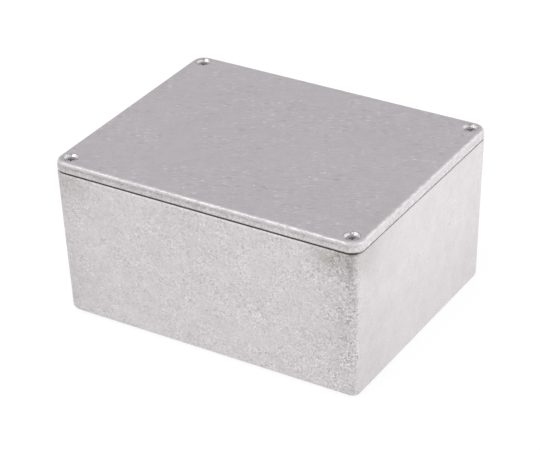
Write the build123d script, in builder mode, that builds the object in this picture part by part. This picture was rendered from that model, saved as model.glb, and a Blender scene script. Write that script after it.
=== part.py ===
from build123d import *

import os
from math import radians, tan

# Die cast aluminium box: a drafted body with corner screw pillars, a lipped lid and countersunk screws.
# Millimetres, +Z up. The origin is the middle of the base, X runs along the length and Y along the width.

# Outline shared by the body and the lid, measured at the joint between them
box_length = 121.0
box_width = 95.0
overall_height = 61.4
corner_radius = 5.0

# Body casting
wall = 2.5
floor_thickness = 2.6
draft_angle = 1.8
base_edge_radius = 2.6
inside_edge_radius = 1.2
rim_edge_bevel = 0.4

# Corner pillars and their tapped holes
screw_inset = 5.0
pillar_radius = 4.4
pillar_blend = 3.5
tapped_depth = 14.0

# Card guides: pairs of upright ribs that hold the edge of a circuit board
slot_width = 2.0
rib_thickness = 1.3
rib_height = 1.0
rib_drop = 5.0
slot_pitch = 20.0
slots_along_length = 4
slots_along_width = 3

# Lid casting
lid_height = 4.4
lid_plate = 2.4
lid_draft = 2.0
lid_edge_radius = 1.5
lip_depth = 2.0
lip_thickness = 1.6
lip_clearance = 0.35
joint_gap = 0.4
joint_gap_depth = 0.7
lid_lower_bevel = 0.6

# Countersunk cross-recess screws, their heads set below the top of the lid
thread_radius = 1.12
thread_clearance = 0.06
lid_hole_clearance = 0.3
screw_length = 12.0
head_radius = 2.05
head_sink = 0.85
head_clearance = 0.1
countersink_angle = 90.0
recess_span = 2.3
recess_wing = 0.7
recess_depth = 1.0
recess_taper = 12.0
screw_turns = {"front_left": 31.0, "front_right": 36.0, "back_left": 24.0, "back_right": 33.0}

rim_z = overall_height - lid_height
screw_span_x = box_length - 2 * screw_inset
screw_span_y = box_width - 2 * screw_inset
rim_plane = Plane.XY.offset(rim_z)
top_plane = Plane.XY.offset(overall_height)
tapped_radius = thread_radius + thread_clearance
lid_hole_radius = thread_radius + lid_hole_clearance
lip_inner_inset = lip_clearance + lip_thickness
countersink_slope = tan(radians(countersink_angle / 2))
countersink_radius = head_radius + head_clearance + head_sink * countersink_slope


def cavity_outline(inset):
    """Inside outline of the rim drawn in by inset, each corner rounded off by a screw pillar."""
    with BuildSketch() as outline:
        Rectangle(box_length - 2 * (wall + inset), box_width - 2 * (wall + inset))
        with GridLocations(screw_span_x, screw_span_y, 2, 2):
            Circle(pillar_radius + inset, mode=Mode.SUBTRACT)
        with GridLocations(screw_span_x + screw_inset, screw_span_y + screw_inset, 2, 2):
            Rectangle(screw_inset, screw_inset, mode=Mode.SUBTRACT)
        fillet(outline.vertices(), radius=pillar_blend)
    return outline.sketch


def rib_section(half_span):
    """Side view of a rib on a drafted wall whose inside face is half_span from the middle at the rim."""
    slope = tan(radians(draft_angle))
    rib_top = rim_z - rib_drop
    foot = half_span - (rim_z - floor_thickness) * slope
    head = half_span - rib_drop * slope
    bury = wall / 2
    with BuildSketch(Plane.XZ) as section:
        with BuildLine():
            Polyline(
                (foot + bury, floor_thickness),
                (head + bury, rib_top),
                (head - rib_height, rib_top),
                (foot - rib_height, floor_thickness),
                close=True,
            )
        make_face()
    return section.sketch


# Drafted space inside the box
with BuildPart() as cavity:
    with BuildSketch(rim_plane):
        add(cavity_outline(0))
    extrude(amount=-(rim_z - floor_thickness))
    sides = cavity.faces().filter_by(Plane.XY, reverse=True)
    draft(sides, rim_plane, -draft_angle)
    fillet(cavity.faces().sort_by(Axis.Z)[0].edges(), radius=inside_edge_radius)

with BuildPart() as end_rib:
    extrude(rib_section(box_length / 2 - wall), amount=rib_thickness / 2, both=True)

with BuildPart() as side_rib:
    extrude(rib_section(box_width / 2 - wall), amount=rib_thickness / 2, both=True)

with BuildPart() as box_body:
    with BuildSketch(rim_plane):
        RectangleRounded(box_length, box_width, corner_radius)
    extrude(amount=-rim_z)
    sides = box_body.faces().filter_by(Plane.XY, reverse=True)
    draft(sides, rim_plane, -draft_angle)
    fillet(box_body.faces().sort_by(Axis.Z)[0].edges(), radius=base_edge_radius)
    chamfer(box_body.faces().sort_by(Axis.Z)[-1].edges(), length=rim_edge_bevel)
    add(cavity.part, mode=Mode.SUBTRACT)
    rib_pitch = slot_width + rib_thickness
    with GridLocations(0, slot_pitch, 1, slots_along_width):
        with GridLocations(0, rib_pitch, 1, 2):
            add(end_rib.part)
            add(end_rib.part, rotation=(0, 0, 180))
    with GridLocations(slot_pitch, 0, slots_along_length, 1):
        with GridLocations(rib_pitch, 0, 2, 1):
            add(side_rib.part, rotation=(0, 0, 90))
            add(side_rib.part, rotation=(0, 0, 270))
    with Locations(rim_plane):
        with GridLocations(screw_span_x, screw_span_y, 2, 2):
            Hole(tapped_radius, depth=tapped_depth)

with BuildPart() as lid:
    with BuildSketch(rim_plane):
        RectangleRounded(box_length, box_width, corner_radius)
    extrude(amount=lid_height)
    sides = lid.faces().filter_by(Plane.XY, reverse=True)
    draft(sides, rim_plane, lid_draft)
    fillet(lid.faces().sort_by(Axis.Z)[-1].edges(), radius=lid_edge_radius)
    # Shallow recess round the foot of the side band, seen as the dark joint line
    with BuildSketch(rim_plane):
        Rectangle(box_length + 2 * joint_gap_depth, box_width + 2 * joint_gap_depth)
        RectangleRounded(
            box_length - 2 * joint_gap_depth,
            box_width - 2 * joint_gap_depth,
            corner_radius - joint_gap_depth,
            mode=Mode.SUBTRACT,
        )
    extrude(amount=joint_gap, mode=Mode.SUBTRACT)
    band_foot = lid.faces().filter_by(Plane.XY).group_by(Axis.Z)[1][0]
    chamfer(band_foot.outer_wire().edges(), length=lid_lower_bevel)
    # Hollow underside and the locating lip round it
    with BuildSketch(rim_plane):
        add(cavity_outline(lip_inner_inset))
    extrude(amount=lid_height - lid_plate, mode=Mode.SUBTRACT)
    with BuildSketch(rim_plane):
        add(cavity_outline(lip_clearance))
        add(cavity_outline(lip_inner_inset), mode=Mode.SUBTRACT)
    extrude(amount=-lip_depth)
    with Locations(top_plane):
        with GridLocations(screw_span_x, screw_span_y, 2, 2):
            CounterSinkHole(
                radius=lid_hole_radius,
                counter_sink_radius=countersink_radius,
                counter_sink_angle=countersink_angle,
            )

# Cross recess of a screw, its two wings narrowing with depth
with BuildPart() as recess:
    with BuildSketch():
        Rectangle(recess_span, recess_wing)
        Rectangle(recess_wing, recess_span)
    extrude(amount=-recess_depth)
    sides = recess.faces().filter_by(Plane.XY, reverse=True)
    draft(sides, Plane.XY, -recess_taper)

# One screw, the top of its head at Z = 0
with BuildPart() as lid_screw:
    cone_height = (head_radius - thread_radius) / countersink_slope
    with BuildSketch(Plane.XZ):
        with BuildLine():
            Polyline(
                (0, 0),
                (0, -screw_length),
                (thread_radius, -screw_length),
                (thread_radius, -cone_height),
                (head_radius, 0),
                close=True,
            )
        make_face()
    revolve(axis=Axis.Z)
    add(recess.part, mode=Mode.SUBTRACT)

os.makedirs("parts", exist_ok=True)

box_body.part.label = "box_body"
export_step(box_body.part, "parts/box_body.step")

lid.part.label = "lid"
export_step(lid.part, "parts/lid.step")

for corner, turn in screw_turns.items():
    x = screw_span_x / 2 if corner.endswith("right") else -screw_span_x / 2
    y = screw_span_y / 2 if corner.startswith("back") else -screw_span_y / 2
    seated = lid_screw.part.moved(Location((x, y, overall_height - head_sink), (0, 0, turn)))
    seated.label = f"lid_screw_{corner}"
    export_step(seated, f"parts/lid_screw_{corner}.step")
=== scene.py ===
import math
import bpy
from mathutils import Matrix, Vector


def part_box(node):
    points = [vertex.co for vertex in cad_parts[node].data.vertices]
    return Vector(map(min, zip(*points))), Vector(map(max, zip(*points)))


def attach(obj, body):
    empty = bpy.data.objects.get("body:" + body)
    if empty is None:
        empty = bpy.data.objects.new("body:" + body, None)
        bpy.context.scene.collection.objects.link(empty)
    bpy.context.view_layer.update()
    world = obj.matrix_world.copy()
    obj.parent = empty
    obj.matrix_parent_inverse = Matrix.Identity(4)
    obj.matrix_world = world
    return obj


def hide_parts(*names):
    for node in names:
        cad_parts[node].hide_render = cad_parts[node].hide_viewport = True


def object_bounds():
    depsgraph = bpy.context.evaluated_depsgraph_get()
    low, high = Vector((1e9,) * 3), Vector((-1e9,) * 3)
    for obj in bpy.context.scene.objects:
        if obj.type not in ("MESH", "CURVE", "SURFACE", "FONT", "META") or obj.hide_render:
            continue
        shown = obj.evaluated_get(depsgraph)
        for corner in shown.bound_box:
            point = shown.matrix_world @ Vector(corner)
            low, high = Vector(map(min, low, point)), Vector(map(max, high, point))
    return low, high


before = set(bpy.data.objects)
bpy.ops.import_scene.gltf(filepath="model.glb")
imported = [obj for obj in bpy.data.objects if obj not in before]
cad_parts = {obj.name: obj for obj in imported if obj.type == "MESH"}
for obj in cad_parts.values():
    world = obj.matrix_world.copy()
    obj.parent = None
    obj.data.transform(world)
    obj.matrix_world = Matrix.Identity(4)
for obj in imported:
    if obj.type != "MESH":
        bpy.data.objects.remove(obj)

from types import SimpleNamespace

import bmesh
import bpy
from mathutils import Euler, Matrix, Vector

cad_low, cad_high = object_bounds()
scene = bpy.context.scene
MM = 0.001

# Camera, as fitted to the photograph: pixels for the focal length, metres for the rest
IMAGE_WIDTH_PX = 540
FOCAL_PX = 2151.7
AZIMUTH_DEG = 31.89
ELEVATION_DEG = 30.29
ROLL_DEG = -1.64
DISTANCE = 0.77942
SHIFT_RIGHT = 0.00227
SHIFT_UP = -0.02425
SENSOR_MM = 36.0
CLIP_START = 0.01
CLIP_END = 50.0

# Castings, in metres: the outline and heights come from the frame
HALF_LENGTH = cad_high.x
HALF_WIDTH = cad_high.y
TOP_Z = cad_high.z
RIM_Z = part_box("box_body")[1].z
CORNER_RADIUS = 5.0 * MM
WALL = 2.5 * MM
FLOOR_THICKNESS = 2.6 * MM
DRAFT_SLOPE = math.tan(math.radians(1.8))
JOINT_GAP = 0.4 * MM
EDGE_ROUNDING = 1.5 * MM
SCREW_INSET = 5.0 * MM
COUNTERSINK_RADIUS = 3.0 * MM

# Screws, in metres: threaded shank, countersunk head with a low dome, cross recess
SCREW_LENGTH = 12.0 * MM
THREAD_PITCH = 0.45 * MM
THREAD_CREST = 1.15 * MM
THREAD_ROOT = 0.96 * MM
FLANK_STEEPNESS = 1.5
TIP_RADIUS = 0.72 * MM
HEAD_RADIUS = 2.05 * MM
HEAD_LAND = 0.06 * MM
DOME_HEIGHT = 0.06 * MM
DOME_RINGS = (0.995, 0.98, 0.92, 0.82, 0.70, 0.56, 0.42, 0.28, 0.14, 0.05)
RECESS_SPAN = 2.3 * MM
RECESS_WING = 0.7 * MM
RECESS_DEPTH = 1.1 * MM
RECESS_FLOOR_SHARE = 0.7
SCREW_TURNS_DEG = {"front_left": 31.0, "front_right": 36.0, "back_left": 24.0, "back_right": 33.0}
ROUND_STEPS = 48
STEPS_PER_PITCH = 8
SHARP_ANGLE_DEG = 38.0

# Marks, and painted light and shade, on the castings: distances where each fades out and is full, in metres,
# and directions
EDGE_GRAIN_FAR = 18.0 * MM
EDGE_GRAIN_NEAR = 2.0 * MM
EDGE_STREAKS_FAR = 11.0 * MM
EDGE_STREAKS_NEAR = 4.0 * MM
LONG_STAIN_FAR = 22.0 * MM
LONG_STAIN_NEAR = 7.0 * MM
END_STAIN_FAR = 24.0 * MM
END_STAIN_NEAR = 5.0 * MM
END_SHADE_FAR = 38.0 * MM
END_SHADE_NEAR = 4.0 * MM
PAINTED_LIGHT_DEPTH = 2.9 * MM
PAINTED_SHADE_DEPTH = 1.0 * MM
JOINT_SHADE_LEAST = 1.0 * MM
JOINT_SHADE_FULL = 1.6 * MM
STROKES_DEG = -AZIMUTH_DEG
DARK_DASHES_DEG = -18.0
SCRATCHES_DEG = 48.0

# Tones of the finishes, and of the dirt and painted shade
BODY_TONE = (0.632, 0.607, 0.619)
LID_TONE = (0.680, 0.643, 0.670)
STAIN_TINT = (0.66, 0.645, 0.60)
DIRT_AND_SHADE_TONE = (0.07, 0.065, 0.067)
CUT_TONE = (0.74, 0.715, 0.735)
STEEL_TONE = (0.50, 0.475, 0.492)

# Studio: directions in the tent, levels where 1 is white, places and sizes of the lamps in metres
TENT_LEVEL = 0.94
GREY_PANEL_WAY = (-0.45, 0.74, 0.50)
GREY_PANEL_LEVEL = 0.65
DARK_PATCH_WAY = (0.24, -0.46, 0.86)
DARK_PATCH_LOSS = -0.50
LOW_GLOW_WAY = (0.80, 0.60, 0.0)
LOW_GLOW_GAIN = 0.25
FLOOR_SIZE = 40.0
PAPER_LEVEL = 0.28
PAPER_GLOW_SEEN = 0.785
PAPER_GLOW_MIRRORED = 0.82
SIDE_LAMP = {"place": (1.35, 0.95, 0.65), "size": (1.5, 1.1), "radiance": 0.25}
FRONT_LAMP = {"place": (-0.55, -0.85, 1.36), "size": (1.45, 0.85), "radiance": 0.9}


def add_camera():
    azimuth, elevation, roll = (math.radians(a) for a in (AZIMUTH_DEG, ELEVATION_DEG, ROLL_DEG))
    back = Vector((math.sin(azimuth) * math.cos(elevation),
                   -math.cos(azimuth) * math.cos(elevation),
                   math.sin(elevation)))
    level = Vector((math.cos(azimuth), math.sin(azimuth), 0.0))
    upright = back.cross(level)
    right = math.cos(roll) * level + math.sin(roll) * upright
    up = -math.sin(roll) * level + math.cos(roll) * upright
    data = bpy.data.cameras.new("camera")
    data.sensor_width = SENSOR_MM
    data.lens = FOCAL_PX * SENSOR_MM / IMAGE_WIDTH_PX
    data.clip_start = CLIP_START
    data.clip_end = CLIP_END
    camera = bpy.data.objects.new("camera", data)
    scene.collection.objects.link(camera)
    place = back * DISTANCE - right * SHIFT_RIGHT - up * SHIFT_UP
    axes = Matrix((right, up, back)).transposed().to_4x4()
    camera.matrix_world = Matrix.Translation(place) @ axes
    scene.camera = camera


class Graph:
    """A node tree, with one short call for each kind of node used here. Pattern sizes are in millimetres."""

    def __init__(self, tree):
        self.tree = tree

    def add(self, kind, **settings):
        node = self.tree.nodes.new(kind)
        for name, value in settings.items():
            setattr(node, name, value)
        return node

    def feed(self, socket, value):
        if isinstance(value, bpy.types.NodeSocket):
            self.tree.links.new(value, socket)
        else:
            socket.default_value = value

    def math(self, operation, a, b=0.0, c=0.0):
        node = self.add("ShaderNodeMath", operation=operation)
        for socket, value in zip(node.inputs, (a, b, c)):
            self.feed(socket, value)
        return node.outputs[0]

    def vector_math(self, operation, a, b=(0.0, 0.0, 0.0)):
        node = self.add("ShaderNodeVectorMath", operation=operation)
        self.feed(node.inputs[0], a)
        self.feed(node.inputs[1], b)
        return node.outputs["Value" if operation in ("LENGTH", "DISTANCE", "DOT_PRODUCT") else "Vector"]

    def total(self, *values):
        result = values[0]
        for value in values[1:]:
            result = self.math("ADD", result, value)
        return result

    def product(self, *values):
        result = values[0]
        for value in values[1:]:
            result = self.math("MULTIPLY", result, value)
        return result

    def invert(self, value):
        return self.math("SUBTRACT", 1.0, value)

    def size_of(self, value):
        """Value without its sign."""
        return self.math("ABSOLUTE", value)

    def ramp(self, value, at_zero, at_one):
        """Value that runs from 0 to 1, made to run evenly from at_zero to at_one."""
        return self.math("MULTIPLY_ADD", value, at_one - at_zero, at_zero)

    def sway(self, value, amount):
        """Value that runs from 0 to 1, made to run from -amount to +amount."""
        return self.ramp(value, -amount, amount)

    def step(self, value, low, high, to_low=0.0, to_high=1.0):
        """Smooth step from to_low at low to to_high at high; low may be the greater of the two."""
        node = self.add("ShaderNodeMapRange", interpolation_type="SMOOTHSTEP")
        ends = sorted(((low, to_low), (high, to_high)))
        self.feed(node.inputs["Value"], value)
        node.inputs["From Min"].default_value = ends[0][0]
        node.inputs["From Max"].default_value = ends[1][0]
        node.inputs["To Min"].default_value = ends[0][1]
        node.inputs["To Max"].default_value = ends[1][1]
        return node.outputs["Result"]

    def split(self, vector):
        node = self.add("ShaderNodeSeparateXYZ")
        self.feed(node.inputs[0], vector)
        return node.outputs

    def join(self, x, y, z):
        node = self.add("ShaderNodeCombineXYZ")
        for socket, value in zip(node.inputs, (x, y, z)):
            self.feed(socket, value)
        return node.outputs[0]

    def place(self):
        return self.add("ShaderNodeTexCoord").outputs["Object"]

    def facing(self):
        return self.split(self.add("ShaderNodeNewGeometry").outputs["Normal"])

    def stretched(self, vector, angle_deg, sizes_mm):
        """Place turned about the upright axis and measured in cells of the given sizes."""
        turned = self.add("ShaderNodeMapping", vector_type="POINT")
        self.feed(turned.inputs["Vector"], vector)
        turned.inputs["Rotation"].default_value = (0.0, 0.0, math.radians(angle_deg))
        scaled = self.add("ShaderNodeMapping", vector_type="POINT")
        self.feed(scaled.inputs["Vector"], turned.outputs[0])
        scaled.inputs["Scale"].default_value = [1.0 / (size * MM) for size in sizes_mm]
        return scaled.outputs[0]

    def scaled_texture(self, kind, vector, size_mm):
        """Texture with cells of the given size, or one to a unit where the vector is measured in cells."""
        node = self.add(kind)
        self.feed(node.inputs["Vector"], vector)
        node.inputs["Scale"].default_value = 1.0 / (size_mm * MM) if size_mm else 1.0
        return node

    def noise(self, vector, size_mm=None, detail=2.0, roughness=0.6):
        node = self.scaled_texture("ShaderNodeTexNoise", vector, size_mm)
        node.inputs["Detail"].default_value = detail
        node.inputs["Roughness"].default_value = roughness
        return node.outputs["Fac"]

    def cells(self, vector, size_mm=None):
        """Distance from the middle of each cell, and a chance value from 0 to 1 for the cell."""
        node = self.scaled_texture("ShaderNodeTexVoronoi", vector, size_mm)
        return node.outputs["Distance"], self.split(node.outputs["Color"])[0]

    def flecks(self, vector, size_mm):
        """A chance value from 0 to 1, the same all over each cell."""
        distance, chance = self.cells(vector, size_mm)
        return chance

    def marks(self, vector, size_mm=None, reach=0.1, share=0.5):
        """Small marks in the middle of a share of the cells, each fading out at reach cells away."""
        distance, chance = self.cells(vector, size_mm)
        return self.product(self.step(distance, reach, 0.4 * reach), self.math("LESS_THAN", chance, share))

    def mix(self, factor, a, b, blend="MIX"):
        node = self.add("ShaderNodeMix", data_type="RGBA", blend_type=blend)
        colours = [c if isinstance(c, bpy.types.NodeSocket) else (*c, 1.0) for c in (a, b)]
        self.feed(node.inputs[0], factor)
        self.feed(node.inputs[6], colours[0])
        self.feed(node.inputs[7], colours[1])
        return node.outputs[2]

    def tinted(self, tone, *changes):
        """Tone made lighter or darker by the sum of the changes, each a share of the tone."""
        level = self.total(1.0, *changes)
        return self.mix(1.0, tone, self.join(level, level, level), blend="MULTIPLY")

    def bump(self, height):
        """Surface normal for a height in metres."""
        node = self.add("ShaderNodeBump")
        node.inputs["Strength"].default_value = 1.0
        node.inputs["Distance"].default_value = 1.0
        self.feed(node.inputs["Height"], height)
        return node.outputs["Normal"]


def new_material(name):
    material = bpy.data.materials.new(name)
    material.use_nodes = True
    shader = material.node_tree.nodes["Principled BSDF"]
    return material, Graph(material.node_tree), shader


def surface_of(g):
    """Where a point of a casting lies and which way it faces."""
    place = g.place()
    x, y, z = g.split(place)
    face_x, face_y, face_z = g.facing()
    return SimpleNamespace(
        place=place, x=x, y=y, z=z,
        quarter=g.join(g.size_of(x), g.size_of(y), 0.0),
        from_end=g.math("SUBTRACT", HALF_LENGTH, g.size_of(x)),
        from_front=g.math("ADD", y, HALF_WIDTH),
        from_top=g.math("SUBTRACT", TOP_Z, z),
        faces_end=g.product(face_x, face_x),
        faces_long=g.product(face_y, face_y),
        faces_up=face_z,
    )


def corner_distance(g, s, inset=0.0):
    """Distance in plan from the nearest of four points, set in from the corners of the outline."""
    return g.vector_math("DISTANCE", s.quarter, (HALF_LENGTH - inset, HALF_WIDTH - inset, 0.0))


def outline_distance(g, s):
    """Distance from the rounded rectangle of the castings, negative inside it."""
    over_x, over_y, over_z = g.split(g.vector_math(
        "SUBTRACT", s.quarter, (HALF_LENGTH - CORNER_RADIUS, HALF_WIDTH - CORNER_RADIUS, 0.0)))
    past = g.join(g.math("MAXIMUM", over_x, 0.0), g.math("MAXIMUM", over_y, 0.0), 0.0)
    within = g.math("MINIMUM", g.math("MAXIMUM", over_x, over_y), 0.0)
    return g.math("SUBTRACT", g.total(g.vector_math("LENGTH", past), within), CORNER_RADIUS)


def inside_of_body(g, s):
    """1 on the inside of the body, 0 on its outside, with the change in the middle of the metal."""
    drafted = g.product(g.math("SUBTRACT", RIM_Z, s.z), DRAFT_SLOPE)
    depth = g.total(outline_distance(g, s), drafted)
    return g.product(g.step(depth, -0.45 * WALL, -0.55 * WALL),
                     g.step(s.z, 0.45 * FLOOR_THICKNESS, 0.55 * FLOOR_THICKNESS))


def cast_body_material():
    """Tumbled casting: sandy grain on the long walls, smoother ends, a few pits, duller inside."""
    material, g, shader = new_material("cast_body")
    s = surface_of(g)
    long_wall = g.step(s.faces_long, 0.24, 0.64)
    end_wall = g.invert(long_wall)
    grainy = g.step(s.faces_long, 0.06, 0.46)
    inside = inside_of_body(g, s)
    from_corner = corner_distance(g, s)
    rightwards = g.step(s.x, -0.5 * HALF_LENGTH, 0.8 * HALF_LENGTH, 0.2, 1.0)

    # Patterns of the cast skin, the finest first
    fine_fleck = g.flecks(s.place, size_mm=0.36)
    fleck = g.flecks(s.place, size_mm=0.60)
    sand = g.noise(s.place, size_mm=0.9, detail=3.0, roughness=0.7)
    streaks = g.noise(g.stretched(s.place, 0.0, (0.6, 0.6, 1.7)), detail=3.0, roughness=0.7)
    mottle = g.noise(s.place, size_mm=4.5, detail=4.0, roughness=0.65)
    blotches = g.step(g.noise(s.place, size_mm=4.5, detail=5.0, roughness=0.7), 0.28, 0.54)
    patchy = g.step(g.noise(s.place, size_mm=7.0), 0.38, 0.62, 0.64, 1.27)
    pits = g.marks(s.place, size_mm=8.0, reach=0.06, share=0.5)
    smudge = g.noise(g.stretched(s.place, 0.0, (8.0, 8.0, 11.0)), detail=3.0)
    wave = g.noise(s.place, size_mm=10.0, detail=1.0)
    cloud = g.noise(s.place, size_mm=21.0)

    # Grain, weaker on the ends and towards the left, stronger beside the upright edges on the right
    upright_edge = g.product(g.step(from_corner, EDGE_GRAIN_FAR, EDGE_GRAIN_NEAR), rightwards)
    beside_edge = g.product(g.step(from_corner, EDGE_STREAKS_FAR, EDGE_STREAKS_NEAR), grainy, rightwards)
    sandy = g.product(g.ramp(grainy, 0.30, 1.0), patchy,
                      g.ramp(rightwards, 0.80, 1.12), g.ramp(upright_edge, 1.0, 1.66))
    glints = g.math("GREATER_THAN", fine_fleck, 0.94)
    pores = g.math("LESS_THAN", fleck, 0.06)
    grain = g.total(g.sway(fleck, 0.075), g.sway(fine_fleck, 0.085), g.sway(sand, 0.16),
                    g.product(glints, 0.10), g.product(pores, -0.08),
                    g.product(beside_edge, g.sway(streaks, 0.24)))

    # Stain at the top of the corners, and a darker streak on the rounding between the walls
    high_up = g.step(s.z, 0.78 * RIM_Z, 0.95 * RIM_Z)
    long_stain = g.product(g.step(s.faces_end, 0.42, 0.16),
                           g.step(s.from_end, LONG_STAIN_FAR, LONG_STAIN_NEAR), 0.95)
    end_stain = g.product(end_wall, g.step(s.from_front, END_STAIN_FAR, END_STAIN_NEAR), 0.38)
    stain = g.product(high_up, g.ramp(rightwards, 0.2, 1.0), g.invert(inside), blotches,
                      g.total(long_stain, end_stain))
    rounding = g.product(g.step(s.faces_end, 0.003, 0.06), g.step(s.faces_end, 0.80, 0.12), rightwards)
    streak = g.product(rounding, g.step(s.z, 0.58 * RIM_Z, 0.85 * RIM_Z))

    # End walls painted lighter, more so higher up, with painted shade towards their front and a smudge
    # pattern over them
    end_light_and_smudge = g.total(
        g.step(s.z, 0.05 * RIM_Z, 0.75 * RIM_Z, 0.115, 0.21), g.sway(smudge, 0.07),
        g.step(s.from_front, END_SHADE_FAR, END_SHADE_NEAR, 0.0, -0.095))
    long_tone = g.total(
        g.product(upright_edge, -0.04), g.step(s.from_end, 0.38 * HALF_LENGTH, 0.0, 0.0, -0.05))
    colour = g.tinted(
        BODY_TONE,
        g.product(sandy, grain), g.sway(cloud, 0.05),
        g.product(g.sway(mottle, 0.115), g.ramp(rightwards, 1.6, 1.0)),
        g.product(end_wall, end_light_and_smudge), g.product(long_wall, long_tone),
        g.product(pits, -0.35), g.product(inside, -0.08), g.product(streak, -0.11))
    g.feed(shader.inputs["Base Color"], g.mix(stain, colour, STAIN_TINT, blend="MULTIPLY"))
    shader.inputs["Metallic"].default_value = 1.0
    g.feed(shader.inputs["Roughness"], g.total(
        0.48, g.sway(mottle, 0.08), g.sway(sand, 0.12), g.product(inside, 0.08)))
    g.feed(shader.inputs["Normal"], g.bump(g.total(
        g.product(sandy, sand, 0.05 * MM), g.product(fine_fleck, 0.004 * MM),
        g.product(wave, 0.08 * MM), g.product(pits, -0.05 * MM))))
    return material


def joint_dirt_and_shade(g, s):
    """Dirt and painted shade in the recess between the lid and the body, least at the ends."""
    in_recess = g.product(g.step(s.z, RIM_Z - 0.3 * JOINT_GAP, RIM_Z - 0.1 * JOINT_GAP),
                          g.step(s.z, RIM_Z + 1.2 * JOINT_GAP, RIM_Z + 0.9 * JOINT_GAP),
                          g.step(outline_distance(g, s), -WALL, -0.9 * WALL))
    return g.product(in_recess, g.step(s.from_end, JOINT_SHADE_LEAST, JOINT_SHADE_FULL, 0.10, 0.92))


def cast_lid_material():
    """Satin casting: small dings and strokes across the top, burnished and slightly wavy edges."""
    material, g, shader = new_material("cast_lid")
    s = surface_of(g)
    levelness = g.size_of(s.faces_up)
    top = g.step(s.faces_up, 0.90, 0.995)
    side = g.step(levelness, 0.45, 0.10)
    flank = g.step(s.faces_up, 0.97, 0.72)
    curved = g.step(levelness, 0.995, 0.90)
    long_side = g.product(side, s.faces_long)
    end_side = g.product(s.faces_end, g.step(s.faces_up, 0.90, 0.30))

    # Patterns of the cast skin, the finest first
    fleck = g.flecks(s.place, size_mm=0.50)
    sand = g.noise(s.place, size_mm=1.0, detail=3.0, roughness=0.7)
    ripple = g.noise(s.place, size_mm=1.1)
    wave = g.noise(s.place, size_mm=3.0)
    mottle = g.noise(s.place, size_mm=5.0, detail=4.0, roughness=0.65)
    uneven = g.noise(s.place, size_mm=9.0)
    busy = g.step(g.noise(s.place, size_mm=14.0), 0.35, 0.62, 0.35, 1.25)
    cloud = g.noise(s.place, size_mm=25.0)

    # Strokes, scratches and knocks on the top
    along = g.stretched(s.place, STROKES_DEG, (3.4, 0.8, 0.8))
    strokes = g.noise(along)
    dashes = g.marks(along, reach=0.36, share=0.30)
    dark_dashes = g.marks(g.stretched(s.place, DARK_DASHES_DEG, (4.5, 1.1, 1.1)), reach=0.40, share=0.25)
    scratches = g.marks(g.stretched(s.place, SCRATCHES_DEG, (5.0, 0.7, 0.7)), reach=0.30, share=0.12)
    specks = g.marks(s.place, size_mm=3.4, reach=0.15, share=0.22)
    dings = g.marks(s.place, size_mm=4.1, reach=0.10, share=0.4)

    # Rounded edge: worn and painted lighter in places, with a painted highlight round the corners
    edge = g.product(g.step(g.size_of(g.math("SUBTRACT", s.faces_up, 0.7)), 0.32, 0.05),
                     g.step(s.from_top, 1.5 * EDGE_ROUNDING, EDGE_ROUNDING))
    long_edge = g.product(edge, s.faces_long)
    worn_and_sheen = g.product(edge, g.step(g.noise(s.place, size_mm=3.0, detail=3.0), 0.30, 0.60))
    corner_highlight = g.product(long_edge, s.faces_end, 16.0)

    # Countersinks: bare metal in the cone, with dirt and painted shade in patches round its rim
    reach = corner_distance(g, s, SCREW_INSET)
    upper = g.math("GREATER_THAN", s.z, RIM_Z + JOINT_GAP)
    cone = g.product(g.step(reach, 1.01 * COUNTERSINK_RADIUS, 0.99 * COUNTERSINK_RADIUS), upper)
    cut = g.product(g.step(reach, 0.96 * COUNTERSINK_RADIUS, 0.88 * COUNTERSINK_RADIUS), upper)
    rim_dirt_and_shade = g.product(cone, g.step(g.noise(s.place, size_mm=2.0), 0.30, 0.55), 0.60)
    turning = g.noise(g.join(reach, 0.0, 0.0), size_mm=0.12)

    top_tone = g.total(
        g.sway(strokes, 0.12), g.product(specks, 0.32), g.product(dashes, 0.24),
        g.product(scratches, 0.18), g.product(dark_dashes, -0.13), g.product(dings, -0.16))
    side_tone = g.total(g.sway(fleck, 0.10), g.sway(sand, 0.24), g.sway(mottle, 0.12))
    # Long sides darker, most on the left, with painted shade just under the rounded edge and painted light
    # lower down
    long_side_tone_and_shade = g.total(
        g.step(s.x, -HALF_LENGTH, HALF_LENGTH, -0.20, -0.11),
        g.step(s.from_top, PAINTED_LIGHT_DEPTH, PAINTED_SHADE_DEPTH, 0.09, -0.14))
    colour = g.tinted(
        g.mix(flank, LID_TONE, BODY_TONE),
        g.sway(fleck, 0.035), g.sway(sand, 0.07), g.sway(mottle, 0.06), g.sway(cloud, 0.03),
        g.product(top, busy, top_tone), g.product(side, side_tone), g.product(long_side, long_side_tone_and_shade),
        # end sides painted lighter; edges partly worn, partly painted sheen; painted highlight round the
        # corners
        g.product(end_side, 0.15), g.product(worn_and_sheen, 0.20), g.product(corner_highlight, 0.16),
        # long edges painted darker in patches, dimming and breaking up their highlight
        g.product(long_edge, g.ramp(uneven, -0.48, 0.02)))
    # dirt and painted shade in the joint recess
    colour = g.mix(joint_dirt_and_shade(g, s), colour, DIRT_AND_SHADE_TONE)
    colour = g.mix(rim_dirt_and_shade, colour, DIRT_AND_SHADE_TONE)
    colour = g.mix(cut, colour, g.tinted(CUT_TONE, g.sway(turning, 0.08)))
    g.feed(shader.inputs["Base Color"], colour)
    shader.inputs["Metallic"].default_value = 1.0
    g.feed(shader.inputs["Roughness"], g.total(
        0.46, g.sway(mottle, 0.08), g.sway(sand, 0.10), g.product(long_edge, -0.20), g.product(cut, -0.24)))
    g.feed(shader.inputs["Normal"], g.bump(g.total(
        g.product(sand, 0.02 * MM), g.product(top, strokes, 0.012 * MM),
        g.product(top, g.total(specks, dashes), -0.012 * MM), g.product(ripple, curved, 0.14 * MM),
        g.product(wave, g.step(curved, 0.0, 1.0, 0.02 * MM, 0.46 * MM)))))
    return material


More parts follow.
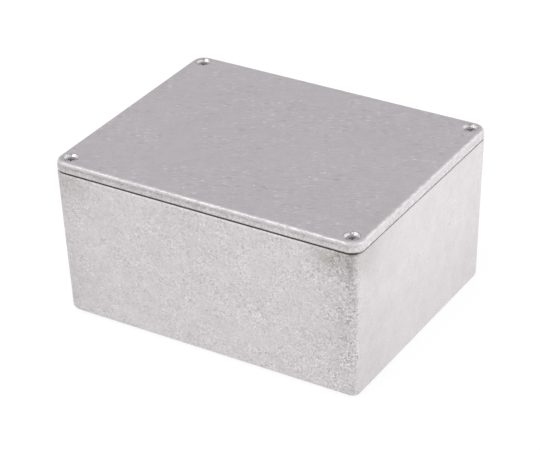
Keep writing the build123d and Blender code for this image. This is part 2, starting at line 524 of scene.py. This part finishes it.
def screw_material():
    """Plated steel with faint turning marks round the head."""
    material, g, shader = new_material("screw_steel")
    place = g.place()
    x, y, z = g.split(place)
    reach = g.vector_math("LENGTH", g.join(x, y, 0.0))
    turning = g.noise(g.join(reach, 0.0, g.product(z, 0.3)), size_mm=0.11)
    mottle = g.noise(place, size_mm=1.4, detail=3.0)
    g.feed(shader.inputs["Base Color"], g.tinted(STEEL_TONE, g.sway(turning, 0.10), g.sway(mottle, 0.10)))
    shader.inputs["Metallic"].default_value = 1.0
    g.feed(shader.inputs["Roughness"], g.total(0.34, g.sway(mottle, 0.10), g.sway(turning, 0.06)))
    g.feed(shader.inputs["Normal"], g.bump(g.product(g.total(turning, mottle), 0.004 * MM)))
    return material


def thread_reach(angle, z):
    """Radius of the shank at a height below the head, with the thread's ridge winding round it."""
    turn = (z / THREAD_PITCH - angle / math.tau) % 1.0
    ridge = 1.0 - abs(2.0 * turn - 1.0)
    flat_topped = min(max(0.5 + FLANK_STEEPNESS * (ridge - 0.5), 0.0), 1.0)
    pointed = TIP_RADIUS + (z + SCREW_LENGTH)
    return min(THREAD_ROOT + (THREAD_CREST - THREAD_ROOT) * flat_topped, pointed)


def ring_of(radius, z):
    """Places round the axis at one height; radius is a length or a function of angle and height."""
    places = []
    for i in range(ROUND_STEPS):
        angle = math.tau * i / ROUND_STEPS
        reach = radius(angle, z) if callable(radius) else radius
        places.append((reach * math.cos(angle), reach * math.sin(angle), z))
    return places


def closed_skin(rings):
    """Closed mesh through rings of places, bottom to top."""
    bm = bmesh.new()
    skins = [[bm.verts.new(place) for place in ring] for ring in rings]
    for lower, upper in zip(skins, skins[1:]):
        for i in range(len(lower)):
            j = (i + 1) % len(lower)
            bm.faces.new((lower[i], lower[j], upper[j], upper[i]))
    bm.faces.new(list(reversed(skins[0])))
    bm.faces.new(skins[-1])
    return bm


def screw_blank():
    """Turned screw before its recess is pressed in, the edge of its domed head at Z = 0."""
    shank_top = -(HEAD_RADIUS - THREAD_ROOT) - HEAD_LAND
    length = SCREW_LENGTH + shank_top
    steps = round(length / THREAD_PITCH * STEPS_PER_PITCH)
    rings = [ring_of(thread_reach, -SCREW_LENGTH + i * length / steps) for i in range(steps)]
    rings.append(ring_of(THREAD_ROOT, shank_top))
    rings.append(ring_of(HEAD_RADIUS, -HEAD_LAND))
    for share in DOME_RINGS:
        rings.append(ring_of(HEAD_RADIUS * share, DOME_HEIGHT * (1.0 - share * share)))
    return closed_skin(rings)


def recess_wing():
    """Cutter for one wing of the cross recess, narrowing with depth."""
    growth = (1.0 - RECESS_FLOOR_SHARE) / RECESS_DEPTH
    rings = []
    for z in (DOME_HEIGHT - RECESS_DEPTH, DOME_HEIGHT + RECESS_DEPTH):
        share = 1.0 + growth * (z - DOME_HEIGHT)
        along = share * RECESS_SPAN / 2
        across = share * RECESS_WING / 2
        rings.append([(-along, -across, z), (along, -across, z), (along, across, z), (-along, across, z)])
    return closed_skin(rings)


def new_object(name, bm):
    mesh = bpy.data.meshes.new(name)
    bm.to_mesh(mesh)
    bm.free()
    item = bpy.data.objects.new(name, mesh)
    scene.collection.objects.link(item)
    return item


def screw_mesh():
    """The screw with its cross recess cut, smooth but for its real edges."""
    blank = new_object("screw_blank", screw_blank())
    cutters = []
    for turn_deg in (0.0, 90.0):
        cutter = new_object("recess_wing", recess_wing())
        cutter.rotation_euler = Euler((0.0, 0.0, math.radians(turn_deg)))
        cut = blank.modifiers.new("recess", "BOOLEAN")
        cut.operation = "DIFFERENCE"
        cut.solver = "EXACT"
        cut.object = cutter
        cutters.append(cutter)
    bpy.context.view_layer.update()
    mesh = bpy.data.meshes.new_from_object(blank.evaluated_get(bpy.context.evaluated_depsgraph_get()))
    for item in (*cutters, blank):
        bpy.data.objects.remove(item)
    mesh.polygons.foreach_set("use_smooth", [True] * len(mesh.polygons))
    mesh.set_sharp_from_angle(angle=math.radians(SHARP_ANGLE_DEG))
    return mesh


def add_screws(material):
    """A threaded screw in the place of each plain one."""
    for corner, turn_deg in SCREW_TURNS_DEG.items():
        low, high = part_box(f"lid_screw_{corner}")
        mesh = screw_mesh()
        mesh.materials.clear()
        mesh.materials.append(material)
        screw = bpy.data.objects.new(f"threaded_screw_{corner}", mesh)
        scene.collection.objects.link(screw)
        screw.location = ((low.x + high.x) / 2, (low.y + high.y) / 2, low.z + SCREW_LENGTH)
        screw.rotation_euler = Euler((0.0, 0.0, math.radians(turn_deg)))
        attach(screw, f"screw_{corner}")
        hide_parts(f"lid_screw_{corner}")


def add_world():
    """Pale studio tent, brightest low on the right, with a greyer panel behind and a dark patch above.

    Each of the three fades between two cosines of the angle from its direction.
    """
    world = bpy.data.worlds.new("studio")
    world.use_nodes = True
    scene.world = world
    g = Graph(world.node_tree)
    background = world.node_tree.nodes["Background"]
    direction = g.add("ShaderNodeTexCoord").outputs["Generated"]
    up = g.split(direction)[2]
    panel = g.vector_math("DOT_PRODUCT", direction, GREY_PANEL_WAY)
    tent = g.step(panel, 0.50, 0.92, TENT_LEVEL, GREY_PANEL_LEVEL)
    patch = g.vector_math("DOT_PRODUCT", direction, DARK_PATCH_WAY)
    above = g.step(patch, 0.925, 0.99, 0.0, DARK_PATCH_LOSS)
    glow = g.step(g.vector_math("DOT_PRODUCT", direction, LOW_GLOW_WAY), 0.40, 0.95, 0.0, LOW_GLOW_GAIN)
    level = g.total(tent, above, g.product(glow, g.step(up, 0.70, 0.20)))
    g.feed(background.inputs["Color"], g.join(level, level, level))
    background.inputs["Strength"].default_value = 1.0


def add_floor():
    """White paper that keeps a faint shadow."""
    bpy.ops.mesh.primitive_plane_add(size=FLOOR_SIZE, location=(0.0, 0.0, 0.0))
    floor = bpy.context.object
    floor.name = "floor"
    material, g, shader = new_material("paper")
    paths = g.add("ShaderNodeLightPath").outputs
    mirrored = g.math("MAXIMUM", paths["Is Glossy Ray"], paths["Is Transmission Ray"])
    glow = g.total(g.product(paths["Is Camera Ray"], PAPER_GLOW_SEEN),
                   g.product(mirrored, PAPER_GLOW_MIRRORED))
    fibre = g.noise(g.place(), size_mm=2.5)
    level = g.total(PAPER_LEVEL, g.sway(fibre, 0.01))
    g.feed(shader.inputs["Base Color"], g.join(level, level, level))
    shader.inputs["Roughness"].default_value = 1.0
    shader.inputs["Specular IOR Level"].default_value = 0.0
    shader.inputs["Emission Color"].default_value = (1.0, 1.0, 1.0, 1.0)
    g.feed(shader.inputs["Emission Strength"], glow)
    floor.data.materials.append(material)


def add_lamp(name, place, size, radiance):
    """A soft box that faces the object, its power given by the brightness of its face."""
    data = bpy.data.lights.new(name, "AREA")
    data.shape = "RECTANGLE"
    data.size, data.size_y = size
    data.energy = radiance * math.pi * size[0] * size[1]
    lamp = bpy.data.objects.new(name, data)
    scene.collection.objects.link(lamp)
    lamp.location = place
    aim = Vector((0.0, 0.0, TOP_Z / 2)) - Vector(place)
    lamp.rotation_euler = aim.to_track_quat("-Z", "Y").to_euler()
    lamp.visible_camera = False


steel = screw_material()
finishes = {"box_body": cast_body_material(), "lid": cast_lid_material()}
for name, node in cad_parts.items():
    node.data.materials.clear()
    node.data.materials.append(finishes.get(name, steel))
add_screws(steel)

add_camera()
add_world()
add_floor()
add_lamp("side_lamp", **SIDE_LAMP)
add_lamp("front_lamp", **FRONT_LAMP)
scene.view_settings.view_transform = "Standard"
